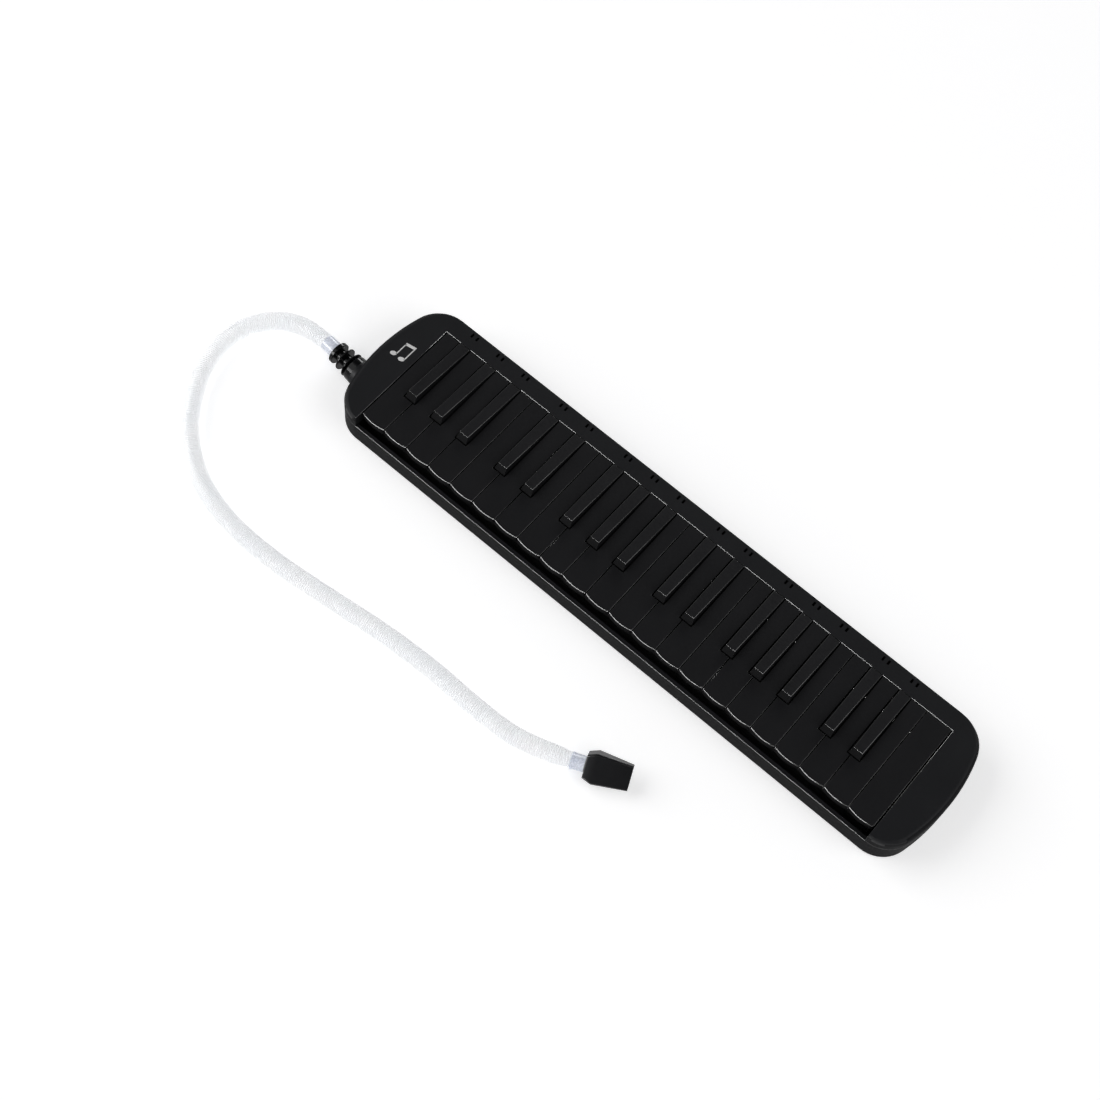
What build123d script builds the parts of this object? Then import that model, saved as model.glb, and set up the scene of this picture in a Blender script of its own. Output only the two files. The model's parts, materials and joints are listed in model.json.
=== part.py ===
from build123d import *
import math
import os

# A 37-key melodica with its blowing hose and mouthpiece. Lengths are in millimetres.
# The case lies flat: +X runs to the high notes, +Y to the rear edge and +Z up.
# The origin is the middle of the case's underside.

# ---- keyboard
pitch = 17.2                 # one natural key
octave_notes = ["f", "fsharp", "g", "gsharp", "a", "asharp", "b", "c", "csharp", "d", "dsharp", "e"]
key_count = 37               # F3 to F6
natural_count = 22
key_gap = 0.6                # seam between two naturals
key_front = -40.9            # front corners of the naturals
front_bow = 1.2              # how far a natural's front edge bows out
key_depth = 5.0              # height of a key's front face and side walls
key_wall = 1.3
key_top_wall = 2.6
sharp_base_width = 7.6
sharp_top_width = 6.2
sharp_gap = 0.8              # clearance beside and before a sharp
sharp_front = -15.5          # foot of a sharp's sloping front
sharp_crest = -12.9          # its highest edge
sharp_rise = 4.5             # height of that edge above the naturals
sharp_rear_rise = 0.6
sharp_offset = {"fsharp": -2.7, "gsharp": 0.4, "asharp": 3.2, "csharp": -1.2, "dsharp": 1.9}

# ---- case
case_length = 427.6
case_depth = 93.0
case_height = 26.0
end_radius = 120.0           # bow of the two ends
corner_radius = 20.0
case_wall = 2.6
underside_chamfer = 0.8
top_wall = 2.4
floor_wall = 2.0
split_height = 16.2          # the cover sits on the lower case here, level with the front lip
end_round_width = 3.6        # the cover's top edge is rounded at the ends
end_round_height = 4.6
end_round_inset = 0.4        # how far the same rounding draws the long sides in
end_round_angles = (30, 60, 90)
window_half = 189.9
window_rear = 34.2
window_wall = 1.8            # cheek beside the outermost keys
vent_width = 1.4
vent_length = 3.0
vent_spacing = 3.8
vent_place = 42.7
post_radius = 4.6
post_spots = [(-199.0, -33.5), (-199.0, 31.0), (199.0, -33.5), (199.0, 31.0)]
screw_shank_radius = 1.4
screw_head_radius = 2.9
screw_head_low = 1.6         # the head's outer face
screw_head_high = 3.6
screw_hole_clearance = 0.2
screw_well_clearance = 0.3
cross_half_width = 0.4       # the head's cross recess
cross_half_length = 1.8
cross_top = 2.4
screw_tip_depth = 2.5        # the tip stops this far under the cover's inner face

# ---- key action
pivot_place = 20.0
pivot_height = 19.2
rod_radius = 1.0
rod_clearance = 0.05
lug_radius = 2.2
lug_width = 5.0
key_travel = 3.4             # degrees
tail_width = 6.2
tail_top = 21.6
tail_bottom = 19.2
pad_place = 39.5
pad_length = 5.0
pad_thickness = 1.6
pad_gap = 0.02               # between a closed pad and its air hole
arm_front = 29.0
lug_front = 17.8
lug_rear = 22.2
lip_round = 0.6              # the naturals' rounded front edge
crown_round = 0.45           # the sharps' rounded top edge
key_rear_gap = 0.5
pocket_rear = 6.0            # rear end of the hollow under a key
sharp_pocket_setback = 1.8
sharp_pocket_roof = 0.6
rail_half = 188.0            # half length of the strips and rails along the keyboard
comb_half = 189.2
comb_front = 17.2
comb_rear = 22.8
comb_top = 16.7
tooth_half = 0.8
tooth_gap = 0.3              # between a tooth and the keys above it
spring_thickness = 0.35
spring_half_width = 1.5
spring_strip_front = -3.5
spring_strip_rear = 3.2
spring_root = 3.0
spring_tip = 13.0
spring_gap = 0.05
front_stop = (-38.0, -32.0)  # front and rear face of the two stop felts
rear_stop = (-11.5, -6.5)
felt_thickness = 2.0
rail_wall = 1.2
rail_roof = 1.4
ridge_height = 1.8           # ridge under the rear felt
felt_gap = 0.1

# ---- wind chest, from the floor up
chest_half = 192.0
chest_front = -18.0
chest_rear = 42.4
chest_wall = 1.8
chest_top = 9.6
gasket_top = 10.1
plate_top = 11.1
block_top = 15.6
channel_width = 6.2
channel_top = 13.7
channel_front = -10.0
channel_rear_wall = 2.0
air_hole_half_width = 2.0
air_hole_half_depth = 1.6
chest_floor = 1.4
wind_port = (-15.5, -8.5, 4.2, 8.8)     # y and z limits of the port between duct and chest
gasket_rim = 2.0
slot_half_width = 1.5        # reed slot
reed_half_width = 1.3
reed_foot_half_width = 1.9
reed_thickness = 0.25
reed_foot_thickness = 0.4
reed_foot_front = 1.5
reed_foot_rear = 2.5
reed_slot_start = 3.0
reed_tip_gap = 0.3
longest_reed = 38.0
shortest_reed = 13.0
reed_front = -11.0
chest_screw_keys = [3, 10, 18, 26, 33]
chest_screw_rows = [-14.9, 31.0]
chest_screw_hole = 1.0
chest_post_radius = 1.9
chest_pilot_radius = 0.95
chest_screw_head = 1.7
chest_screw_head_height = 1.1
chest_screw_shank = 0.9
chest_slot_half_length = 1.3
chest_slot_half_width = 0.25
chest_slot_depth = 0.5
duct_box = (-202.8, -26.0, -6.0, 20.0)  # outer end, front, rear and top
duct_wall = 1.6
duct_hole_radius = 7.1

# ---- blow hole, plug, hose and mouthpiece
blow_point = Vector(-212.6, -17.0, 12.5)
blow_angle = 5.0             # degrees by which the blow hole leans to the rear
socket_radius = 8.6
socket_bore = 5.6
socket_proud = 2.4
socket_depth = 8.4
socket_flange_radius = 10.0
socket_flange_thickness = 1.6
socket_spout_radius = 7.0
socket_spout_depth = 11.4
spigot_clearance = 0.05
spigot_depth = 5.0           # how far the plug reaches into the case's end wall
collar_end = 7.1             # distances along the plug are from the end wall
collar_base_radius = 8.6
collar_tip_radius = 8.3
collar_round = 1.0
plug_core_radius = 4.0
plug_bore = 2.8
plug_ribs = [(8.6, 9.4, 8.25), (13.9, 14.9, 7.65), (19.0, 21.5, 7.2)]   # start, end, radius
rib_round = 0.35
plug_tip = 21.5
hose_radius = 5.8
hose_bore = 4.8
inlet_cuff_radius = 5.0
outlet_cuff_radius = 4.8
cuff_bore = 3.8
inlet_cuff_length = 9.2
outlet_cuff_length = 8.0
ring_radius = 5.15           # raised rim on the outlet cuff
ring_width = 1.6
butt_gap = 0.02              # between pieces that meet end to end
hose_route = [
    (-234.02, -15.13, 12.5),
    (-251.55, -13.59, 12.5),
    (-271.0, -18.3, 11.0),
    (-285.8, -31.7, 8.6),
    (-292.6, -50.2, 6.8),
    (-289.2, -74.0, 5.9),
    (-278.0, -94.8, 5.9),
    (-262.0, -114.5, 5.9),
    (-235.0, -132.0, 5.9),
    (-201.0, -139.6, 5.9),
    (-164.0, -138.8, 5.9),
    (-126.0, -134.2, 5.9),
    (-90.0, -129.4, 5.9),
    (-54.0, -127.4, 5.9),
    (-20.0, -128.6, 5.9),
    (14.9, -126.8, 7.4),
    (45.48, -113.54, 8.7),
]
mouthpiece_roll = 37.7       # degrees, as it lies on one of its long corners
mouthpiece_neck_radius = 4.4
# distance along the mouthpiece, half width, half thickness and corner chamfer at its three sections
mouthpiece_sections = [(0.3, 7.14, 4.6, 0.9), (6.0, 9.36, 4.6, 0.9), (26.7, 7.64, 2.3, 0.7)]
slot_width = 9.0
slot_height = 2.6
slot_start = 13.0
bore_end = 15.0

# ---- drain
drain_x = 184.0
drain_height = 6.4
drain_button_radius = 3.1
drain_stem_radius = 1.1
drain_valve_radius = 2.7
drain_proud = 2.2
drain_head_depth = 1.0
drain_round = 0.5
drain_hole_clearance = 0.15
drain_port_clearance = 0.7
valve_thickness = 1.7
valve_gap = 0.02
drain_wire_radius = 0.14
drain_coil_radius = 1.9

half_depth = case_depth / 2
half_length = case_length / 2
cover_under = case_height - top_wall
key_under = case_height - key_depth
travel_slope = math.tan(math.radians(key_travel))


def save(part, name):
    """One sub-part, one file."""
    export_step(part, f"parts/{name}.step")


def block(x0, x1, y0, y1, z0, z1):
    """A box between two corners."""
    middle = ((x0 + x1) / 2, (y0 + y1) / 2, (z0 + z1) / 2)
    return Pos(*middle) * Box(x1 - x0, y1 - y0, z1 - z0)


def bar(points, x0, x1):
    """A profile given as (y, z) points, extruded along the case from x0 to x1."""
    outline = Polyline(*[(x0, y, z) for y, z in points], close=True)
    return extrude(make_face(outline), amount=x1 - x0, dir=(1, 0, 0))


def upright(x, y, radius, z0, z1):
    """A vertical cylinder."""
    return Pos(x, y, (z0 + z1) / 2) * Cylinder(radius, z1 - z0)


def case_outline(inset=0.0, end_inset=0.0, z=0.0):
    """The case's plan: straight long sides, rounded corners and bowed ends, all tangent."""
    side = half_depth - inset
    end = half_length - inset - end_inset
    end_r = end_radius - inset
    corner_r = corner_radius - inset
    bow_x = end - end_r
    corner_y = side - corner_r
    corner_x = bow_x + math.sqrt((end_r - corner_r) ** 2 - corner_y**2)
    lean = math.atan2(corner_y, corner_x - bow_x)
    meet = (bow_x + end_r * math.cos(lean), end_r * math.sin(lean))
    half_turn = (lean + math.pi / 2) / 2
    bend = (corner_x + corner_r * math.cos(half_turn), corner_y + corner_r * math.sin(half_turn))
    edges = []
    for sx in (1, -1):
        edges += [
            Line((-sx * corner_x, -sx * side, z), (sx * corner_x, -sx * side, z)),
            ThreePointArc(
                (sx * corner_x, -sx * side, z),
                (sx * bend[0], -sx * bend[1], z),
                (sx * meet[0], -sx * meet[1], z),
            ),
            ThreePointArc(
                (sx * meet[0], -sx * meet[1], z),
                (sx * end, 0, z),
                (sx * meet[0], sx * meet[1], z),
            ),
            ThreePointArc(
                (sx * meet[0], sx * meet[1], z),
                (sx * bend[0], sx * bend[1], z),
                (sx * corner_x, sx * side, z),
            ),
        ]
    return make_face(edges)


def case_slab(inset, z0, z1):
    """The case's plan with height."""
    return extrude(case_outline(inset, 0, z0), amount=z1 - z0)


def natural_index(key):
    """How many naturals lie below a key of the keyboard."""
    octave, step = divmod(key, 12)
    return octave * 7 + sum("sharp" not in note for note in octave_notes[:step])


def is_sharp(key):
    return "sharp" in octave_notes[key % 12]


def sharp_centre(key):
    """A sharp stands near the seam between its two naturals, shifted by its note."""
    seam = (natural_index(key) - natural_count / 2) * pitch
    return seam + sharp_offset[octave_notes[key % 12]]


def natural_edges(key):
    """Left and right edge of a natural: at its front, and beside its sharps."""
    left = (natural_index(key) - natural_count / 2) * pitch + key_gap / 2
    right = left + pitch - key_gap
    reach = sharp_base_width / 2 + sharp_gap
    shank_left = sharp_centre(key - 1) + reach if key > 0 and is_sharp(key - 1) else left
    last = key == key_count - 1
    shank_right = sharp_centre(key + 1) - reach if not last and is_sharp(key + 1) else right
    return left, right, shank_left, shank_right


def shank_centre(key):
    if is_sharp(key):
        return sharp_centre(key)
    left, right, shank_left, shank_right = natural_edges(key)
    return (shank_left + shank_right) / 2


def key_name(key):
    octave = 3 + (key + 5) // 12
    return f"key_{octave_notes[key % 12]}{octave}"


centres = [shank_centre(key) for key in range(key_count)]
sharp_centres = [centres[key] for key in range(key_count) if is_sharp(key)]
tooth_places = [-188.4] + [(a + b) / 2 for a, b in zip(centres, centres[1:])] + [188.4]
blow_axis = Vector(-math.cos(math.radians(blow_angle)), math.sin(math.radians(blow_angle)), 0)
blow_plane = Plane(origin=blow_point, x_dir=(0, 0, 1), z_dir=blow_axis)


def along_blow(radius, start, end):
    """A cylinder on the blow hole's axis, measured outward from the case's end wall."""
    return blow_plane * Pos(0, 0, (start + end) / 2) * Cylinder(radius, end - start)


def along_drain(radius, start, end):
    """A cylinder on the drain button's axis, between two distances from the case's middle."""
    place = Pos(drain_x, (start + end) / 2, drain_height)
    return place * Rot(90, 0, 0) * Cylinder(radius, end - start)


# ---- case shells
def upper_cover():
    shoulder = case_height - end_round_height
    steps = [case_outline(0, 0, shoulder)]
    for angle in end_round_angles:
        fall = 1 - math.cos(math.radians(angle))
        rise = math.sin(math.radians(angle))
        inset = end_round_inset * fall
        steps.append(case_outline(inset, end_round_width * fall, shoulder + end_round_height * rise))
    shell = case_slab(0, split_height, shoulder)
    for lower, upper in zip(steps, steps[1:]):
        shell += loft([lower, upper], ruled=True)
    shell -= case_slab(case_wall, split_height, cover_under)
    shell -= block(-window_half, window_half, -half_depth - 5, window_rear, split_height - 1, case_height + 1)
    for side in (-1, 1):
        cheek = sorted((side * window_half, side * (window_half + window_wall)))
        shell += block(*cheek, -half_depth + 1, window_rear, split_height, cover_under)
    for x, y in post_spots:
        shell += upright(x, y, post_radius, split_height, cover_under)
        shell -= upright(x, y, screw_shank_radius + rod_clearance, split_height - 1, cover_under - 2)
    for x in sharp_centres:
        for side in (-0.5, 0.5):
            slot = x + side * vent_spacing
            shell -= block(
                slot - vent_width / 2,
                slot + vent_width / 2,
                vent_place - vent_length / 2,
                vent_place + vent_length / 2,
                cover_under - 1,
                case_height + 1,
            )
    return shell - along_blow(socket_radius + rod_clearance, -6, 6)


def lower_case():
    shell = case_slab(0, 0, split_height)
    under = shell.edges().group_by(Axis.Z)[0]
    shell = chamfer(under, underside_chamfer)
    shell -= case_slab(case_wall, floor_wall, split_height)
    for x, y in post_spots:
        shell += upright(x, y, post_radius, floor_wall, split_height)
        shell -= upright(x, y, screw_shank_radius + screw_hole_clearance, -1, split_height + 1)
        shell -= upright(x, y, screw_head_radius + screw_well_clearance, -1, screw_head_high)
    drain_hole = drain_button_radius + drain_hole_clearance
    shell -= along_drain(drain_hole, half_depth - case_wall - 1, half_depth + 1)
    return shell - along_blow(socket_radius + rod_clearance, -6, 6)


def case_screws():
    group = []
    for x, y in post_spots:
        head = upright(x, y, screw_head_radius, screw_head_low, screw_head_high)
        for half_x, half_y in ((cross_half_width, cross_half_length), (cross_half_length, cross_half_width)):
            head -= block(x - half_x, x + half_x, y - half_y, y + half_y, screw_head_low - 0.1, cross_top)
        shank = upright(x, y, screw_shank_radius, screw_head_high, cover_under - screw_tip_depth)
        group.append(head + shank)
    return Compound(children=group)


# ---- wind chest and reeds
def chest_screw_spots():
    spots = []
    for key in chest_screw_keys:
        for y in chest_screw_rows:
            spots.append(((centres[key] + centres[key + 1]) / 2, y))
    return spots


def wind_chest():
    tray = block(-chest_half, chest_half, chest_front, chest_rear, floor_wall, chest_top)
    inner = chest_half - chest_wall
    inner_rear = chest_rear - chest_wall
    inner_front = chest_front + chest_wall
    tray -= block(-inner, inner, inner_front, inner_rear, floor_wall + chest_floor, chest_top + 1)
    for x, y in chest_screw_spots():
        tray += upright(x, y, chest_post_radius, floor_wall + 1, chest_top)
        tray -= upright(x, y, chest_pilot_radius, floor_wall + 2, chest_top + 1)
    tray -= block(-chest_half - 1, -inner + 1, *wind_port)
    return tray - along_drain(drain_stem_radius + drain_port_clearance, inner_rear - 1, chest_rear + 1)


def chamber_gasket():
    ring = block(-chest_half, chest_half, chest_front, chest_rear, chest_top, gasket_top)
    half = chest_half - gasket_rim
    front, rear = chest_front + gasket_rim, chest_rear - gasket_rim
    return ring - block(-half, half, front, rear, chest_top - 1, gasket_top + 1)


def reed_length(key):
    """Reeds shorten evenly from the lowest note to the highest."""
    return longest_reed + (shortest_reed - longest_reed) * key / (key_count - 1)


def reed_plate():
    plate = block(-chest_half, chest_half, chest_front, chest_rear, gasket_top, plate_top)
    for key, x in enumerate(centres):
        rear = reed_front + reed_length(key)
        slot_front = reed_front + reed_slot_start
        plate -= block(
            x - slot_half_width, x + slot_half_width, slot_front, rear, gasket_top - 1, plate_top + 1
        )
    for x, y in chest_screw_spots():
        plate -= upright(x, y, chest_screw_hole, gasket_top - 1, plate_top + 1)
    return plate


def reeds():
    group = []
    for key, x in enumerate(centres):
        under = gasket_top - reed_foot_thickness
        foot_front, foot_rear = reed_front - reed_foot_front, reed_front + reed_foot_rear
        half = reed_foot_half_width
        foot = block(x - half, x + half, foot_front, foot_rear, under, gasket_top)
        tip = reed_front + reed_length(key) - reed_tip_gap
        tongue = block(
            x - reed_half_width, x + reed_half_width, reed_front, tip, under, under + reed_thickness
        )
        group.append(foot + tongue)
    return Compound(children=group)


def chamber_block():
    """Valve board: a channel over each reed, ending in the air hole that the key's pad closes."""
    board_half = window_half - 0.2
    body = block(-board_half, board_half, chest_front, chest_rear, plate_top, block_top)
    body += block(-rail_half, rail_half, *rear_stop, block_top, block_top + ridge_height)
    cuts = []
    for x in centres:
        half = channel_width / 2
        channel_rear = chest_rear - channel_rear_wall
        cuts.append(block(x - half, x + half, channel_front, channel_rear, plate_top - 1, channel_top))
        hole_front, hole_rear = pad_place - air_hole_half_depth, pad_place + air_hole_half_depth
        half = air_hole_half_width
        cuts.append(block(x - half, x + half, hole_front, hole_rear, channel_top - 1, block_top + 1))
    holes = [upright(x, y, chest_screw_hole, plate_top - 1, block_top + 1) for x, y in chest_screw_spots()]
    return body - cuts - holes


def chest_screws():
    group = []
    head_top = block_top + chest_screw_head_height
    for x, y in chest_screw_spots():
        head = upright(x, y, chest_screw_head, block_top, head_top)
        head -= block(
            x - chest_slot_half_length,
            x + chest_slot_half_length,
            y - chest_slot_half_width,
            y + chest_slot_half_width,
            head_top - chest_slot_depth,
            head_top + 1,
        )
        group.append(head + upright(x, y, chest_screw_shank, floor_wall + 2.5, block_top))
    return Compound(children=group)


def blow_duct():
    outer_end, front, rear, top = duct_box
    body = block(outer_end, -chest_half, front, rear, floor_wall, top)
    body -= block(
        outer_end + duct_wall,
        -chest_half - duct_wall,
        front + duct_wall,
        rear - duct_wall,
        floor_wall + duct_wall,
        top - duct_wall,
    )
    body -= block(-chest_half - 2, -chest_half + 1, *wind_port)
    return body - along_blow(duct_hole_radius, -14, -8)


def blow_socket():
    """Hard bush in the case's end wall, with a flange inside the case."""
    bush = along_blow(socket_radius, -socket_depth, socket_proud)
    bush += along_blow(socket_flange_radius, -socket_depth, socket_flange_thickness - socket_depth)
    bush += along_blow(socket_spout_radius, -socket_spout_depth, -7)
    return bush - along_blow(socket_bore, -12, socket_proud + 1)


# ---- key action
def key_comb():
    comb = block(-comb_half, comb_half, comb_front, comb_rear, block_top, comb_top)
    for x in tooth_places:
        comb += block(x - tooth_half, x + tooth_half, lug_front, lug_rear, block_top, key_under - tooth_gap)
    return comb - rod(rod_radius + rod_clearance, 195)


def rod(radius, half):
    return Pos(0, pivot_place, pivot_height) * Rot(0, 90, 0) * Cylinder(radius, 2 * half)


def key_springs():
    """A strip with one finger under each key, pushing its front up and its pad down."""
    top = block_top + spring_thickness
    strip = block(-rail_half, rail_half, spring_strip_front, spring_strip_rear, block_top, top)
    tip_height = key_under - spring_gap
    profile = [
        (spring_root, top),
        (spring_root, block_top),
        (spring_tip + 0.3, tip_height - spring_thickness),
        (spring_tip, tip_height),
    ]
    return strip + [bar(profile, x - spring_half_width, x + spring_half_width) for x in centres]


def felt_top(place):
    """Height of a stop felt that meets the keys' undersides at full travel."""
    return key_under - (pivot_place - place) * travel_slope - felt_gap


def front_rail():
    front, rear = front_stop
    top = felt_top(front) - felt_thickness
    rail = block(-rail_half, rail_half, front, rear, floor_wall, top)
    hollow_top = top - rail_roof
    return rail - block(
        -rail_half - 1, rail_half + 1, front + rail_wall, rear - rail_wall, floor_wall - 1, hollow_top
    )


def stop_felts():
    front_top = felt_top(front_stop[0])
    front = block(-rail_half, rail_half, *front_stop, front_top - felt_thickness, front_top)
    rear = block(-rail_half, rail_half, *rear_stop, block_top + ridge_height, felt_top(rear_stop[0]))
    return Compound(children=[front, rear])


def action_end(x):
    """Pivot lug, tail and pad carrier, the same on every key."""
    half = tail_width / 2
    pad_front, pad_rear = pad_place - pad_length / 2, pad_place + pad_length / 2
    arm = block(x - half, x + half, arm_front, pad_rear, tail_bottom, tail_top)
    arm += block(x - half, x + half, pad_front, pad_rear, block_top + pad_gap + pad_thickness, tail_bottom)
    lug = Pos(x, pivot_place, pivot_height) * Rot(0, 90, 0) * Cylinder(lug_radius, lug_width)
    half = lug_width / 2
    lug += block(x - half, x + half, lug_front, lug_rear, pivot_height, key_under + 0.5)
    return arm + lug


def key_pad(x):
    """Soft pad that closes the key's air hole."""
    half = tail_width / 2
    front, rear = pad_place - pad_length / 2, pad_place + pad_length / 2
    start = block_top + pad_gap
    return block(x - half, x + half, front, rear, start, start + pad_thickness)


def natural_key(key):
    left, right, shank_left, shank_right = natural_edges(key)
    notch = sharp_front - sharp_gap
    rear = window_rear - key_rear_gap
    x = shank_centre(key)
    bow = ((left + right) / 2, key_front - front_bow)
    outline = [ThreePointArc((left, key_front), bow, (right, key_front))]
    points = [(right, key_front)]
    if shank_right < right:
        points += [(right, notch), (shank_right, notch)]
    points += [(shank_right, rear), (shank_left, rear)]
    if shank_left > left:
        points += [(shank_left, notch), (left, notch)]
    points.append((left, key_front))
    outline.append(Polyline(*points))
    body = extrude(Pos(0, 0, key_under) * make_face(outline), amount=key_depth)
    lip = body.edges().filter_by(GeomType.CIRCLE).group_by(Axis.Z)[-1]
    body = fillet(lip, lip_round)
    pocket_top = case_height - key_top_wall
    body -= block(
        left + key_wall, right - key_wall, key_front + lip_round, notch - key_wall, key_under - 1, pocket_top
    )
    body -= block(
        shank_left + key_wall,
        shank_right - key_wall,
        notch - key_wall - 1,
        pocket_rear,
        key_under - 1,
        pocket_top,
    )
    lever = body + action_end(x) - rod(rod_radius + rod_clearance, 200)
    return Compound(children=[lever, key_pad(x)])


def sharp_key(key):
    x = sharp_centre(key)
    rear = window_rear - key_rear_gap
    top = case_height + sharp_rise
    side = [
        (sharp_front, key_under),
        (sharp_front, case_height),
        (sharp_crest, top),
        (rear, case_height + sharp_rear_rise),
        (rear, key_under),
    ]
    wedge = bar(side, x - 6, x + 6)
    base = sharp_base_width / 2
    narrow = (base - sharp_top_width / 2) / sharp_rise
    over = sharp_rise + 1
    section = Polyline(
        (x - base, sharp_front - 1, key_under - 1),
        (x + base, sharp_front - 1, key_under - 1),
        (x + base, sharp_front - 1, case_height),
        (x + base - narrow * over, sharp_front - 1, case_height + over),
        (x - base + narrow * over, sharp_front - 1, case_height + over),
        (x - base, sharp_front - 1, case_height),
        close=True,
    )
    body = wedge & extrude(make_face(section), amount=rear - sharp_front + 2, dir=(0, 1, 0))
    crown = body.faces().filter_by(lambda f: f.normal_at().Z > 0.9).sort_by(Axis.Z)[-1]
    body = fillet(crown.edges(), crown_round)
    body -= block(
        x - base + key_wall,
        x + base - key_wall,
        sharp_front + sharp_pocket_setback,
        pocket_rear,
        key_under - 1,
        case_height - sharp_pocket_roof,
    )
    lever = body + action_end(x) - rod(rod_radius + rod_clearance, 200)
    return Compound(children=[lever, key_pad(x)])


# ---- drain
def drain_button():
    """Button, stem and valve disc in one piece: pushing it opens the chest's drain."""
    seat = chest_rear - chest_wall
    button = along_drain(drain_button_radius, half_depth - drain_head_depth, half_depth + drain_proud)
    button = fillet(button.edges().sort_by(Axis.Y)[-1], drain_round)
    stem = along_drain(drain_stem_radius, seat - 0.8, half_depth - drain_head_depth + 0.4)
    return button + stem + along_drain(drain_valve_radius, seat - valve_thickness, seat - valve_gap)


def drain_spring():
    start = chest_rear + drain_wire_radius + valve_gap
    height = half_depth - drain_head_depth - drain_wire_radius - valve_gap - start
    turns = Helix(pitch=height / 2, height=height, radius=drain_coil_radius)
    section = Plane(origin=turns @ 0, z_dir=turns % 0) * Circle(drain_wire_radius)
    coil = sweep(section, path=turns, is_frenet=True)
    return Pos(drain_x, start, drain_height) * Rot(-90, 0, 0) * coil


# ---- plug, hose and mouthpiece
def hose_plug():
    """Soft plug: a spigot in the socket, a rounded collar, and ribs on a thin core."""
    start = socket_proud + butt_gap
    place = blow_plane * Pos(0, 0, (start + collar_end) / 2)
    collar = place * Cone(collar_base_radius, collar_tip_radius, collar_end - start)
    rims = collar.edges().filter_by(GeomType.CIRCLE)
    collar = fillet(rims.sort_by(lambda rim: (rim.arc_center - blow_point).length)[-1], collar_round)
    plug = along_blow(socket_bore - spigot_clearance, -spigot_depth, start + 1) + collar
    plug += along_blow(plug_core_radius, start + 1, plug_tip)
    for near, far, radius in plug_ribs:
        rib = along_blow(radius, near, far)
        plug += fillet(rib.edges().filter_by(GeomType.CIRCLE), rib_round)
    return plug - along_blow(plug_bore, -spigot_depth - 1, plug_tip + 1)


def hose():
    """Straight runs joined by tangent arcs as large as the runs allow, less a cuff's length at each end."""
    points = [Vector(*p) for p in hose_route]
    radii = []
    for before, here, after in zip(points, points[1:], points[2:]):
        run = min((here - before).length, (after - here).length)
        half_turn = math.radians((here - before).get_angle(after - here)) / 2
        radii.append(0.45 * run / math.tan(half_turn))
    print("hose bend radii", [round(r, 1) for r in radii])
    path = FilletPolyline(*points, radius=radii)
    start = Plane(origin=path @ 0, z_dir=path % 0)
    outside = sweep(start * Circle(hose_radius), path=path)
    inside = sweep(start * Circle(hose_bore), path=path)
    tube = outside - inside
    tube -= along_blow(hose_radius + 1, plug_tip - 1, plug_tip + inlet_cuff_length)
    tube -= along_end(hose_radius + 1, -outlet_cuff_length, 1)
    length = path.length - inlet_cuff_length - outlet_cuff_length
    section = math.pi * (hose_radius**2 - hose_bore**2)
    print("hose length", length, "volume", tube.volume, "section x length", section * length)
    return tube


def hose_inlet_cuff():
    near = plug_tip + butt_gap
    far = plug_tip + inlet_cuff_length - butt_gap
    return along_blow(inlet_cuff_radius, near, far) - along_blow(cuff_bore, near - 1, far + 1)


hose_end = Vector(*hose_route[-1])
end_run = (hose_end - Vector(*hose_route[-2])).normalized()
end_side = end_run.cross(Vector(0, 0, 1)).normalized()
end_plane = Plane(origin=hose_end, x_dir=end_side, z_dir=end_run)


def along_end(radius, start, end):
    """A cylinder on the hose's last run, measured outward from its end."""
    return end_plane * Pos(0, 0, (start + end) / 2) * Cylinder(radius, end - start)


def hose_outlet_cuff():
    near = -outlet_cuff_length + butt_gap
    sleeve = along_end(outlet_cuff_radius, near, -butt_gap)
    sleeve += along_end(ring_radius, near, near + ring_width)
    return sleeve - along_end(cuff_bore, -outlet_cuff_length - 1, 1)


def mouthpiece():
    """A flat block that tapers to its lip, with chamfered corners, a short neck and a blowing slot."""

    def section(distance, half_width, half_thick, corner):
        side, face = half_thick - corner, half_width - corner
        quarter = [(half_width, side), (face, half_thick)]
        ring = quarter + [(-x, y) for x, y in reversed(quarter)]
        ring += [(-x, -y) for x, y in ring]
        outline = make_face(Polyline(*[(x, y, 0) for x, y in ring], close=True))
        return end_plane * Pos(0, 0, distance) * Rot(0, 0, mouthpiece_roll) * outline

    sections = [section(*values) for values in mouthpiece_sections]
    body = along_end(mouthpiece_neck_radius, butt_gap, 1)
    for near, far in zip(sections, sections[1:]):
        body += loft([near, far], ruled=True)
    lip = mouthpiece_sections[-1][0]
    slot_length = lip + 1 - slot_start
    slot_plane = end_plane * Pos(0, 0, slot_start + slot_length / 2) * Rot(0, 0, mouthpiece_roll)
    body -= slot_plane * Box(slot_width, slot_height, slot_length)
    return body - along_end(plug_bore, -1, bore_end)


os.makedirs("parts", exist_ok=True)
for maker in (
    upper_cover,
    lower_case,
    case_screws,
    wind_chest,
    chamber_gasket,
    reed_plate,
    reeds,
    chamber_block,
    chest_screws,
    blow_duct,
    blow_socket,
    key_comb,
    key_springs,
    front_rail,
    stop_felts,
    drain_button,
    drain_spring,
    hose_plug,
    hose_inlet_cuff,
    hose,
    hose_outlet_cuff,
    mouthpiece,
):
    save(maker(), maker.__name__)
save(rod(rod_radius, comb_half), "pivot_rod")
for key in range(key_count):
    save(sharp_key(key) if is_sharp(key) else natural_key(key), key_name(key))
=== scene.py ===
import json
import math

import bmesh
import bpy
from mathutils import Matrix, Quaternion, Vector


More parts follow.
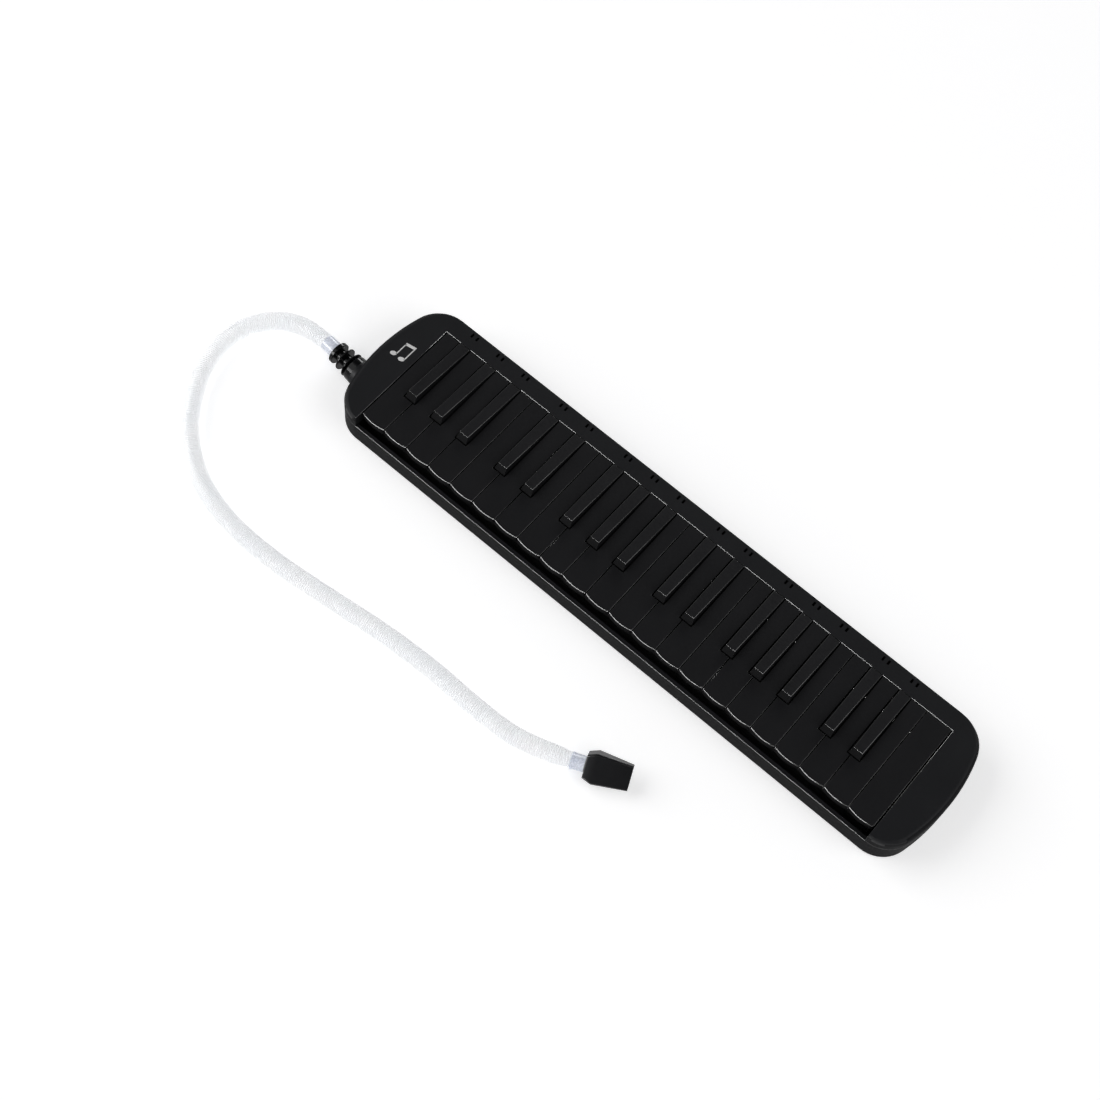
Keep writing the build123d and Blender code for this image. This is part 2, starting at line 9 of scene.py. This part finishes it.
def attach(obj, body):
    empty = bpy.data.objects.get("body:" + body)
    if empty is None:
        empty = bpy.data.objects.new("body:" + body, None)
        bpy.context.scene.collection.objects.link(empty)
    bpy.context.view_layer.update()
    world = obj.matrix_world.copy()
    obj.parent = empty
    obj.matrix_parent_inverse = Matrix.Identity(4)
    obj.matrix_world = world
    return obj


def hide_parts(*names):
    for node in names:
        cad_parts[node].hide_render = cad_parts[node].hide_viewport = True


# A black 37-key melodica with its white hose, on a pale floor. Lengths are in metres.
# +X runs to the high notes, +Y to the rear edge and +Z up; the case's underside is at Z = 0.
MM = 0.001

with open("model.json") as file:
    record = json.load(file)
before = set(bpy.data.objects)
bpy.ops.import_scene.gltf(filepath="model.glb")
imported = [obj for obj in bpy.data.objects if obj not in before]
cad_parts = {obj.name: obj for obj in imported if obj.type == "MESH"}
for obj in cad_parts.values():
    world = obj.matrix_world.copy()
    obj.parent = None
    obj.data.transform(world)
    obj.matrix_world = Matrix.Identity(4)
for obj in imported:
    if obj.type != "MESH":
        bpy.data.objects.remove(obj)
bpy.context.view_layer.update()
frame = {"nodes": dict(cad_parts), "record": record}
nodes = frame["nodes"]
record = frame["record"]
body_of_node = {n: b for b, names in record["behaviour"]["bodies"].items() for n in names}

# ---- camera
CAMERA_PLACE = Vector((0.19366, -0.43029, 1.03691))
CAMERA_AIM = Vector((-0.05609, -0.02356, 0.0))
CAMERA_ROLL = math.radians(9.794)
CAMERA_LENS = 63.384

camera_data = bpy.data.cameras.new("camera")
camera_data.lens = CAMERA_LENS
camera_data.sensor_width = 36.0
camera_data.clip_start = 0.01
camera_data.clip_end = 50.0
camera = bpy.data.objects.new("camera", camera_data)
bpy.context.scene.collection.objects.link(camera)
camera.location = CAMERA_PLACE
camera.rotation_mode = "QUATERNION"
camera.rotation_quaternion = (CAMERA_AIM - CAMERA_PLACE).to_track_quat("-Z", "Y") @ Quaternion(
    (0, 0, 1), CAMERA_ROLL
)
bpy.context.scene.camera = camera
bpy.context.scene.view_settings.view_transform = "Standard"


# ---- materials; depths of relief are in metres
GRAIN_DEPTH = 0.012 * MM
COARSE_GRAIN_DEPTH = 0.04 * MM
FLOW_DEPTH = 0.12 * MM
BRUSHED_DEPTH = 0.008 * MM
FIBRE_DEPTH = 0.18 * MM
VINYL_DEPTH = 0.02 * MM
KEY_GRAIN = 5200
RUBBER_GRAIN = 1800
PLUG_GRAIN = 1600


def material(name):
    """An empty node material with its Principled shader."""
    made = bpy.data.materials.new(name)
    made.use_nodes = True
    return made, made.node_tree, made.node_tree.nodes["Principled BSDF"]


def noise(tree, scale, detail=3.0, stretch=(1, 1, 1)):
    """Noise in the piece's own space, so that it moves with it. Scale is in cycles per metre."""
    place = tree.nodes.new("ShaderNodeTexCoord")
    mapping = tree.nodes.new("ShaderNodeMapping")
    mapping.inputs["Scale"].default_value = stretch
    texture = tree.nodes.new("ShaderNodeTexNoise")
    texture.inputs["Scale"].default_value = scale
    texture.inputs["Detail"].default_value = detail
    tree.links.new(place.outputs["Object"], mapping.inputs["Vector"])
    tree.links.new(mapping.outputs["Vector"], texture.inputs["Vector"])
    return texture.outputs["Fac"]


def spread(tree, source, low, high, start=0.3, end=0.7):
    """Maps a noise to a range of values."""
    ramp = tree.nodes.new("ShaderNodeMapRange")
    ramp.inputs["From Min"].default_value = start
    ramp.inputs["From Max"].default_value = end
    ramp.inputs["To Min"].default_value = low
    ramp.inputs["To Max"].default_value = high
    tree.links.new(source, ramp.inputs["Value"])
    return ramp.outputs["Result"]


def tint(tree, source, dark, light):
    """Maps a noise to a colour between two."""
    mix = tree.nodes.new("ShaderNodeMix")
    mix.data_type = "RGBA"
    mix.inputs["A"].default_value = (*dark, 1)
    mix.inputs["B"].default_value = (*light, 1)
    tree.links.new(source, mix.inputs["Factor"])
    return mix.outputs["Result"]


def bump(tree, shader, layers):
    """Stacks bumps, given as (noise output, strength, depth in metres)."""
    previous = None
    for source, strength, depth in layers:
        step = tree.nodes.new("ShaderNodeBump")
        step.inputs["Strength"].default_value = strength
        step.inputs["Distance"].default_value = depth
        tree.links.new(source, step.inputs["Height"])
        if previous:
            tree.links.new(previous, step.inputs["Normal"])
        previous = step.outputs["Normal"]
    tree.links.new(previous, shader.inputs["Normal"])


def moulded(name, dark, light, rough, grain=4200, grain_depth=GRAIN_DEPTH, specular=0.5):
    """Moulded plastic or rubber: fine grain, slow patches of colour and gloss, faint flow marks."""
    made, tree, shader = material(name)
    patches = noise(tree, 38, 4)
    tree.links.new(tint(tree, spread(tree, patches, 0, 1), dark, light), shader.inputs["Base Color"])
    scuffs = noise(tree, 420, 5, (1, 6, 1))
    tree.links.new(spread(tree, scuffs, rough[0], rough[1]), shader.inputs["Roughness"])
    shader.inputs["Specular IOR Level"].default_value = specular
    flow_marks = (noise(tree, 60, 2), 0.12, FLOW_DEPTH)
    spark_grain = (noise(tree, grain, 2), 0.35, grain_depth)
    bump(tree, shader, [flow_marks, spark_grain])
    return made


def metal(name, dark, light, rough, brushed=(1, 1, 1)):
    """Rolled or turned metal with fine lines and slight tarnish."""
    made, tree, shader = material(name)
    tree.links.new(
        tint(tree, spread(tree, noise(tree, 90, 5), 0, 1), dark, light), shader.inputs["Base Color"]
    )
    lines = noise(tree, 2400, 3, brushed)
    tree.links.new(spread(tree, lines, rough[0], rough[1]), shader.inputs["Roughness"])
    shader.inputs["Metallic"].default_value = 1.0
    bump(tree, shader, [(lines, 0.3, BRUSHED_DEPTH)])
    return made


def fibrous(name, dark, light):
    """Felt: matted fibres with a soft sheen."""
    made, tree, shader = material(name)
    fibres = noise(tree, 2600, 8, (1, 1, 3))
    tree.links.new(tint(tree, spread(tree, fibres, 0, 1), dark, light), shader.inputs["Base Color"])
    shader.inputs["Roughness"].default_value = 0.95
    shader.inputs["Sheen Weight"].default_value = 0.4
    bump(tree, shader, [(fibres, 0.9, FIBRE_DEPTH)])
    return made


def milky(name, dark, light, rough, glow, clear, painted_glow):
    """Soft vinyl that lets some light through, with a painted glow: it emits its own light colour."""
    made, tree, shader = material(name)
    clouds = noise(tree, 55, 3)
    tree.links.new(tint(tree, spread(tree, clouds, 0, 1), dark, light), shader.inputs["Base Color"])
    tree.links.new(spread(tree, noise(tree, 900, 3), rough[0], rough[1]), shader.inputs["Roughness"])
    shader.inputs["Subsurface Weight"].default_value = glow
    shader.inputs["Subsurface Radius"].default_value = (1.0, 1.0, 1.0)
    shader.inputs["Subsurface Scale"].default_value = 1.5 * MM
    shader.inputs["Transmission Weight"].default_value = clear
    shader.inputs["IOR"].default_value = 1.45
    # painted glow: the vinyl emits its light colour, standing in for light let through
    shader.inputs["Emission Color"].default_value = (*light, 1)
    shader.inputs["Emission Strength"].default_value = painted_glow
    bump(tree, shader, [(noise(tree, 1500, 2), 0.2, VINYL_DEPTH)])
    return made


finishes = {
    "case_plastic": moulded(
        "case_satin", (0.0090, 0.0094, 0.0106), (0.0112, 0.0117, 0.0130), (0.40, 0.52), specular=0.10
    ),
    # painted shade: the case's steep walls get a darker, less glossy copy of its plastic
    "case_wall": moulded(
        "case_wall_painted_shade",
        (0.0080, 0.0082, 0.0088),
        (0.0098, 0.0100, 0.0107),
        (0.55, 0.68),
        specular=0.03,
    ),
    # painted highlight: the case's rounded edges get a lighter, glossier copy of its plastic
    "case_edge": moulded(
        "case_edge_painted_highlight", (0.014, 0.014, 0.015), (0.020, 0.020, 0.021), (0.18, 0.26), specular=0.9
    ),
    "key_plastic": moulded(
        "key_satin",
        (0.0086, 0.0087, 0.0096),
        (0.0108, 0.0109, 0.0119),
        (0.36, 0.46),
        KEY_GRAIN,
        specular=0.10,
    ),
    "sharp_plastic": moulded(
        "sharp_satin",
        (0.0082, 0.0083, 0.0093),
        (0.0104, 0.0105, 0.0116),
        (0.34, 0.44),
        KEY_GRAIN,
        specular=0.12,
    ),
    # painted shade: the keys' steep sides and slopes get a darker, less glossy copy of their plastic
    "key_wall": moulded(
        "key_wall_painted_shade",
        (0.0060, 0.0060, 0.0066),
        (0.0078, 0.0078, 0.0085),
        (0.50, 0.62),
        KEY_GRAIN,
        specular=0.03,
    ),
    # painted highlight: the keys' rounded edges get a lighter, glossier copy of their plastic
    "key_edge": moulded(
        "key_edge_painted_highlight",
        (0.012, 0.012, 0.012),
        (0.020, 0.019, 0.019),
        (0.16, 0.24),
        KEY_GRAIN,
        specular=0.9,
    ),
    "chest_plastic": moulded(
        "chest_dark", (0.012, 0.012, 0.013), (0.020, 0.020, 0.021), (0.42, 0.55), specular=0.2
    ),
    "soft_rubber": moulded(
        "pad_rubber",
        (0.030, 0.028, 0.027),
        (0.048, 0.045, 0.043),
        (0.60, 0.75),
        RUBBER_GRAIN,
        COARSE_GRAIN_DEPTH,
    ),
    "plug_rubber": moulded(
        "plug_rubber",
        (0.0030, 0.0031, 0.0034),
        (0.0046, 0.0047, 0.0051),
        (0.10, 0.18),
        PLUG_GRAIN,
        specular=0.12,
    ),
    "screw_steel": metal("screw_zinc", (0.50, 0.50, 0.50), (0.64, 0.63, 0.60), (0.25, 0.42)),
    "spring_bronze": metal(
        "spring_tarnished", (0.055, 0.046, 0.038), (0.090, 0.074, 0.060), (0.30, 0.45), (1, 8, 1)
    ),
    "reed_brass": metal(
        "reed_brass", (0.60, 0.45, 0.18), (0.76, 0.60, 0.27), (0.18, 0.34), (10, 1, 1)
    ),
    "felt": fibrous("stop_felt", (0.010, 0.010, 0.011), (0.030, 0.030, 0.032)),
    # the hose and its cuffs carry a painted glow, set by their last argument
    "hose_plastic": milky(
        "hose_vinyl", (0.88, 0.90, 0.93), (0.93, 0.94, 0.955), (0.42, 0.55), 0.5, 0.0, 0.17
    ),
    "cuff_plastic": milky(
        "cuff_vinyl", (0.74, 0.78, 0.88), (0.84, 0.87, 0.95), (0.22, 0.32), 0.4, 0.15, 0.05
    ),
    "mouth_plastic": moulded(
        "mouthpiece_satin",
        (0.0050, 0.0052, 0.0062),
        (0.0070, 0.0072, 0.0084),
        (0.30, 0.42),
        specular=0.07,
    ),
    # painted light: the mouthpiece's walls get a lighter, glossier copy of its plastic than its top
    "mouth_wall": moulded(
        "mouthpiece_wall_painted_light",
        (0.0080, 0.0080, 0.0086),
        (0.0110, 0.0110, 0.0118),
        (0.30, 0.42),
        specular=0.4,
    ),
    # painted highlight: the mouthpiece's rounded edges get a lighter, glossier copy of its plastic
    "mouth_edge": moulded(
        "mouthpiece_edge_painted_highlight", (0.010, 0.010, 0.011), (0.016, 0.016, 0.017), (0.18, 0.26)
    ),
}


# ---- carried-over nodes, with softened edges
MERGE_DISTANCE = 0.03 * MM
FLAT_ANGLE = math.radians(0.4)


def clean(node):
    """The node's surface with its nearly equal points merged and its flat areas whole."""
    work = bmesh.new()
    work.from_mesh(nodes[node].data)
    bmesh.ops.remove_doubles(work, verts=work.verts, dist=MERGE_DISTANCE)
    bmesh.ops.dissolve_limit(
        work,
        angle_limit=FLAT_ANGLE,
        use_dissolve_boundaries=False,
        verts=work.verts,
        edges=work.edges,
    )
    return work


def mesh_object(name, work, finish_names, crease=40):
    """An object from a worked mesh, smooth except over the crease angle."""
    mesh = bpy.data.meshes.new(name)
    work.normal_update()
    work.to_mesh(mesh)
    work.free()
    for finish in finish_names:
        mesh.materials.append(finishes[finish])
    mesh.shade_smooth()
    mesh.set_sharp_from_angle(angle=math.radians(crease))
    made = bpy.data.objects.new(name, mesh)
    bpy.context.scene.collection.objects.link(made)
    level = made.modifiers.new("flat_tops", "WEIGHTED_NORMAL")
    level.mode = "FACE_AREA"
    level.weight = 90
    level.keep_sharp = True
    return made


ROUNDING_AREA = 4 * MM * MM  # a rounded edge's strips are smaller than this
HARD_ANGLE = math.radians(42)
WALL_TILT = 0.7  # a face whose normal rises less than this is a wall
EDGE_TILT = (0.2, 0.97)  # how much the normals of a key's rounded front rise
# each piece's finishes: its top, its edges with a painted highlight, and its walls with painted shade
# or painted light
CASE_LOOKS = ("case_plastic", "case_edge", "case_wall")
NATURAL_LOOKS = ("key_plastic", "key_edge", "key_wall")
SHARP_LOOKS = ("sharp_plastic", "key_edge", "key_wall")
MOUTH_LOOKS = ("mouth_plastic", "mouth_edge", "mouth_wall")
EDGE, WALL, PAD = 1, 2, 3  # places in a piece's list of finishes; its top is 0


def refine(node, name, looks, width, above, shortest=0, segments=2, clamp=False, pad=None):
    """A node's own shape, with its hard edges rounded where they are above a height and over a length.

    Looks are the finishes of its top, edges and walls; the edges carry a painted highlight and the
    walls painted shade, or painted light on the mouthpiece. Faces that lie wholly in the pad are
    rubber.
    """
    work = clean(node)
    hard = [
        e
        for e in work.edges
        if len(e.link_faces) == 2
        and e.calc_face_angle(0) > HARD_ANGLE
        and e.calc_length() > shortest
        and all(v.co.z > above for v in e.verts)
    ]
    rounded = bmesh.ops.bevel(
        work,
        geom=hard,
        offset=width,
        offset_type="OFFSET",
        segments=segments,
        profile=0.5,
        affect="EDGES",
        clamp_overlap=clamp,
        loop_slide=True,
    )
    # walls take the painted shade or light finish, and rounded edges the painted highlight finish
    for face in work.faces:
        if face.calc_area() >= ROUNDING_AREA and abs(face.normal.z) < WALL_TILT:
            face.material_index = WALL
        elif pad and face.calc_area() < ROUNDING_AREA and EDGE_TILT[0] < face.normal.z < EDGE_TILT[1]:
            face.material_index = EDGE
    for face in rounded["faces"]:
        face.material_index = EDGE
    names = list(looks)
    if pad:
        names.append("soft_rubber")
        for face in work.faces:
            if all(pad(v) for v in face.verts):
                face.material_index = PAD
    made = mesh_object(name, work, names)
    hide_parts(node)
    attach(made, body_of_node[node])
    return made


PAD_TOP = 17.25 * MM
PAD_FRONT = 36.5 * MM


def in_pad(point):
    """Whether a key's point belongs to the pad under its tail."""
    return point.co.z < PAD_TOP and point.co.y > PAD_FRONT


ROUNDING = 0.20 * MM
TRAY_ROUNDING = 0.45 * MM
COVER_TOP = 24 * MM
KEY_TOP = 22 * MM
WINDOW_EDGE = 10 * MM  # the window's edges are longer than this, and the vent slots' edges shorter
LONG_EDGE = 3 * MM
refine("upper_cover", "cover", CASE_LOOKS, ROUNDING, COVER_TOP, WINDOW_EDGE)
refine("lower_case", "tray", CASE_LOOKS, TRAY_ROUNDING, 0, segments=3, clamp=True)
refine("mouthpiece", "mouthpiece_block", MOUTH_LOOKS, ROUNDING, 0, LONG_EDGE)
for node in sorted(nodes):
    if node.startswith("key_") and node not in ("key_comb", "key_springs"):
        looks = SHARP_LOOKS if "sharp" in node else NATURAL_LOOKS
        lever = node.replace("key_", "lever_")
        refine(node, lever, looks, ROUNDING, KEY_TOP, LONG_EDGE, pad=in_pad)

PLAIN_NODES = {
    "case_screws": "screw_steel",
    "chest_screws": "screw_steel",
    "pivot_rod": "screw_steel",
    "wind_chest": "chest_plastic",
    "chamber_block": "chest_plastic",
    "blow_duct": "chest_plastic",
    "key_comb": "chest_plastic",
    "front_rail": "chest_plastic",
    "chamber_gasket": "soft_rubber",
    "reed_plate": "reed_brass",
    "reeds": "reed_brass",
    "key_springs": "spring_bronze",
    "drain_spring": "spring_bronze",
    "stop_felts": "felt",
    "blow_socket": "case_plastic",
    "drain_button": "key_plastic",
    "hose_plug": "plug_rubber",
    "hose_inlet_cuff": "cuff_plastic",
    "hose_outlet_cuff": "cuff_plastic",
}
for node, finish in PLAIN_NODES.items():
    for place in nodes[node].material_slots:
        place.material = finishes[finish]

# ---- hose: a ribbed tube on one smooth line
HOSE_ROUTE = [
    (-234.02, -15.13, 12.5),
    (-251.55, -13.59, 12.5),
    (-271.0, -18.3, 11.0),
    (-285.8, -31.7, 8.6),
    (-292.6, -50.2, 6.8),
    (-289.2, -74.0, 5.9),
    (-278.0, -94.8, 5.9),
    (-262.0, -114.5, 5.9),
    (-235.0, -132.0, 5.9),
    (-201.0, -139.6, 5.9),
    (-164.0, -138.8, 5.9),
    (-126.0, -134.2, 5.9),
    (-90.0, -129.4, 5.9),
    (-54.0, -127.4, 5.9),
    (-20.0, -128.6, 5.9),
    (14.9, -126.8, 7.4),
    (45.48, -113.54, 8.7),
]
INLET_CUFF = 9.2 * MM
OUTLET_CUFF = 8.0 * MM
HOSE_RADIUS = 5.8 * MM
INLET_RADIUS = 5.05 * MM
OUTLET_RADIUS = 4.6 * MM
RIB_PITCH = 1.25 * MM
RIB_HEIGHT = 0.42 * MM
RINGS_PER_RIB = 6
TUBE_SIDES = 30
RIB_SHARPNESS = 0.7
INLET_FLARE = 22 * MM  # the tube widens from each cuff to its full size over these lengths
OUTLET_FLARE = 9 * MM
HOSE_CREASE = 60


def spline_points():
    """Points along the route's own smooth curve."""
    curve = bpy.data.curves.new("hose_line", "CURVE")
    curve.dimensions = "3D"
    spline = curve.splines.new("NURBS")
    spline.points.add(len(HOSE_ROUTE) - 1)
    for point, place in zip(spline.points, HOSE_ROUTE):
        point.co = (*[c * MM for c in place], 1)
    spline.order_u = 3
    spline.use_endpoint_u = True
    spline.resolution_u = 48
    line = bpy.data.objects.new("hose_line", curve)
    bpy.context.scene.collection.objects.link(line)
    mesh = bpy.data.meshes.new_from_object(line)
    points = [v.co.copy() for v in mesh.vertices]
    bpy.data.objects.remove(line)
    return points


def walk(points, start, end, count):
    """Evenly spaced points between two distances along a line."""
    lengths = [0.0]
    for a, b in zip(points, points[1:]):
        lengths.append(lengths[-1] + (b - a).length)
    made = []
    at = 0
    for i in range(count):
        target = start + (end - start) * i / (count - 1)
        while at < len(lengths) - 2 and lengths[at + 1] < target:
            at += 1
        share = (target - lengths[at]) / (lengths[at + 1] - lengths[at])
        made.append(points[at].lerp(points[at + 1], share))
    return made


def line_length(points):
    """The length of a line through points."""
    return sum((b - a).length for a, b in zip(points, points[1:]))


def ease(x):
    """A smooth step from 0 to 1."""
    x = min(max(x, 0.0), 1.0)
    return x * x * (3 - 2 * x)


line = spline_points()
whole = line_length(line)
hose_length = whole - INLET_CUFF - OUTLET_CUFF
rib_count = round(hose_length / RIB_PITCH)
ring_count = rib_count * RINGS_PER_RIB + 1
path = walk(line, INLET_CUFF, whole - OUTLET_CUFF, ring_count)
tube = bmesh.new()
side = Vector((0, 0, 1))
rings = []
for i, centre in enumerate(path):
    run = (path[min(i + 1, ring_count - 1)] - path[max(i - 1, 0)]).normalized()
    side = (side - run * side.dot(run)).normalized()
    across = run.cross(side)
    along = hose_length * i / (ring_count - 1)
    from_inlet = ease(along / INLET_FLARE)
    from_outlet = ease((hose_length - along) / OUTLET_FLARE)
    outer = min(
        INLET_RADIUS + (HOSE_RADIUS - INLET_RADIUS) * from_inlet,
        OUTLET_RADIUS + (HOSE_RADIUS - OUTLET_RADIUS) * from_outlet,
    )
    wave = 0.5 - 0.5 * math.cos(2 * math.pi * i / RINGS_PER_RIB)
    radius = outer - RIB_HEIGHT * (1 - wave**RIB_SHARPNESS)
    ring = []
    for k in range(TUBE_SIDES):
        turn = 2 * math.pi * k / TUBE_SIDES
        outward = side * math.cos(turn) + across * math.sin(turn)
        ring.append(tube.verts.new(centre + outward * radius))
    rings.append(ring)
for a, b in zip(rings, rings[1:]):
    for k in range(TUBE_SIDES):
        tube.faces.new((a[k], a[(k + 1) % TUBE_SIDES], b[(k + 1) % TUBE_SIDES], b[k]))
tube.faces.new(reversed(rings[0]))
tube.faces.new(rings[-1])
bmesh.ops.recalc_face_normals(tube, faces=tube.faces)
hose = mesh_object("ribbed_hose", tube, ["hose_plastic"], HOSE_CREASE)
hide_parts("hose")
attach(hose, "hose_set")

# ---- a plain printed pair of notes on the left panel
NOTE_PLACE = Vector((-200.0, 6.0, 26.05)) * MM
NOTE_SCALE = 1.25
HEAD_PLACES = (-2.7, 2.3)  # the notes' own measures are in millimetres, before scaling
HEAD_HEIGHT = -3.6
HEAD_RADII = (1.7, 1.15)
HEAD_LEAN = math.radians(20)
HEAD_SIDES = 28
STEM = ((1.05, -3.2), (1.6, -3.2), (1.6, 4.4), (1.05, 4.0))  # across from its head, up from the middle
BEAM = [(-1.65, 3.4), (3.9, 4.4), (3.9, 5.9), (-1.65, 4.9)]
paint, paint_tree, paint_shader = material("white_print")
print_wear = noise(paint_tree, 700, 4)
paint_tree.links.new(
    tint(paint_tree, spread(paint_tree, print_wear, 0, 1), (0.62, 0.62, 0.61), (0.76, 0.76, 0.75)),
    paint_shader.inputs["Base Color"],
)
paint_shader.inputs["Roughness"].default_value = 0.5
finishes["print"] = paint
emblem = bmesh.new()
PRINT_THICKNESS = 0.03 * MM


def plate(points):
    """A thin printed shape from points in its plane."""
    low = [emblem.verts.new((x * MM, y * MM, -PRINT_THICKNESS)) for x, y in points]
    high = [emblem.verts.new((x * MM, y * MM, 0)) for x, y in points]
    emblem.faces.new(high)
    emblem.faces.new(reversed(low))
    for k in range(len(points)):
        after = (k + 1) % len(points)
        emblem.faces.new((low[k], low[after], high[after], high[k]))


for head_x in HEAD_PLACES:
    outline = []
    for k in range(HEAD_SIDES):
        turn = 2 * math.pi * k / HEAD_SIDES
        x = HEAD_RADII[0] * math.cos(turn)
        y = HEAD_RADII[1] * math.sin(turn)
        outline.append(
            (
                head_x + x * math.cos(HEAD_LEAN) - y * math.sin(HEAD_LEAN),
                HEAD_HEIGHT + x * math.sin(HEAD_LEAN) + y * math.cos(HEAD_LEAN),
            )
        )
    plate(outline)
    plate([(head_x + x, y) for x, y in STEM])
plate(BEAM)
bmesh.ops.recalc_face_normals(emblem, faces=emblem.faces)
notes = mesh_object("printed_notes", emblem, ["print"])
notes.matrix_world = Matrix.Translation(NOTE_PLACE) @ Matrix.Diagonal((NOTE_SCALE, NOTE_SCALE, 1, 1))
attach(notes, "case")

# ---- floor
FLOOR_SIZE = 12
FLOOR_DROP = 0.3 * MM
bpy.ops.mesh.primitive_plane_add(size=FLOOR_SIZE, location=(0, 0, -FLOOR_DROP))
floor = bpy.context.object
floor.name = "floor"
floor_paint, _, floor_shader = material("pale_floor")
floor_shader.inputs["Base Color"].default_value = (0.80, 0.80, 0.80, 1)
floor_shader.inputs["Roughness"].default_value = 0.9
floor_shader.inputs["Specular IOR Level"].default_value = 0.1
floor_shader.inputs["Emission Color"].default_value = (1, 1, 1, 1)
floor_shader.inputs["Emission Strength"].default_value = 0.50
floor.data.materials.append(floor_paint)

# ---- light: a pale horizon under a dim ceiling, two soft boxes, and two gleams for the edges
world = bpy.data.worlds.new("studio")
bpy.context.scene.world = world
world.use_nodes = True
sky = world.node_tree
direction = sky.nodes.new("ShaderNodeTexCoord")
split = sky.nodes.new("ShaderNodeSeparateXYZ")
sky.links.new(direction.outputs["Generated"], split.inputs["Vector"])
HORIZON = (0.85, 0.85, 0.86)
CEILING = (0.16, 0.16, 0.17)
shade = tint(sky, spread(sky, split.outputs["Z"], 0, 1, 0.05, 0.65), HORIZON, CEILING)
sky.links.new(shade, sky.nodes["Background"].inputs["Color"])
sky.nodes["Background"].inputs["Strength"].default_value = 0.6


def soft_box(name, place, size, power, gleam=False):
    """A rectangular lamp aimed at the case. A gleam shows only in reflections."""
    lamp = bpy.data.lights.new(name, "AREA")
    lamp.shape = "RECTANGLE"
    lamp.size, lamp.size_y = size
    lamp.energy = power
    made = bpy.data.objects.new(name, lamp)
    bpy.context.scene.collection.objects.link(made)
    made.location = place
    made.rotation_mode = "QUATERNION"
    made.rotation_quaternion = (-Vector(place)).to_track_quat("-Z", "Y")
    made.visible_diffuse = not gleam


soft_box("left_box", (-1.9, -0.7, 1.5), (2.2, 2.2), 36)
soft_box("right_box", (2.1, 0.3, 1.5), (2.2, 2.2), 30)
soft_box("front_gleam", (-0.50, -2.0, 1.05), (2.2, 0.9), 130, gleam=True)
soft_box("rear_gleam", (-0.30, 2.2, 0.75), (2.4, 0.5), 60, gleam=True)
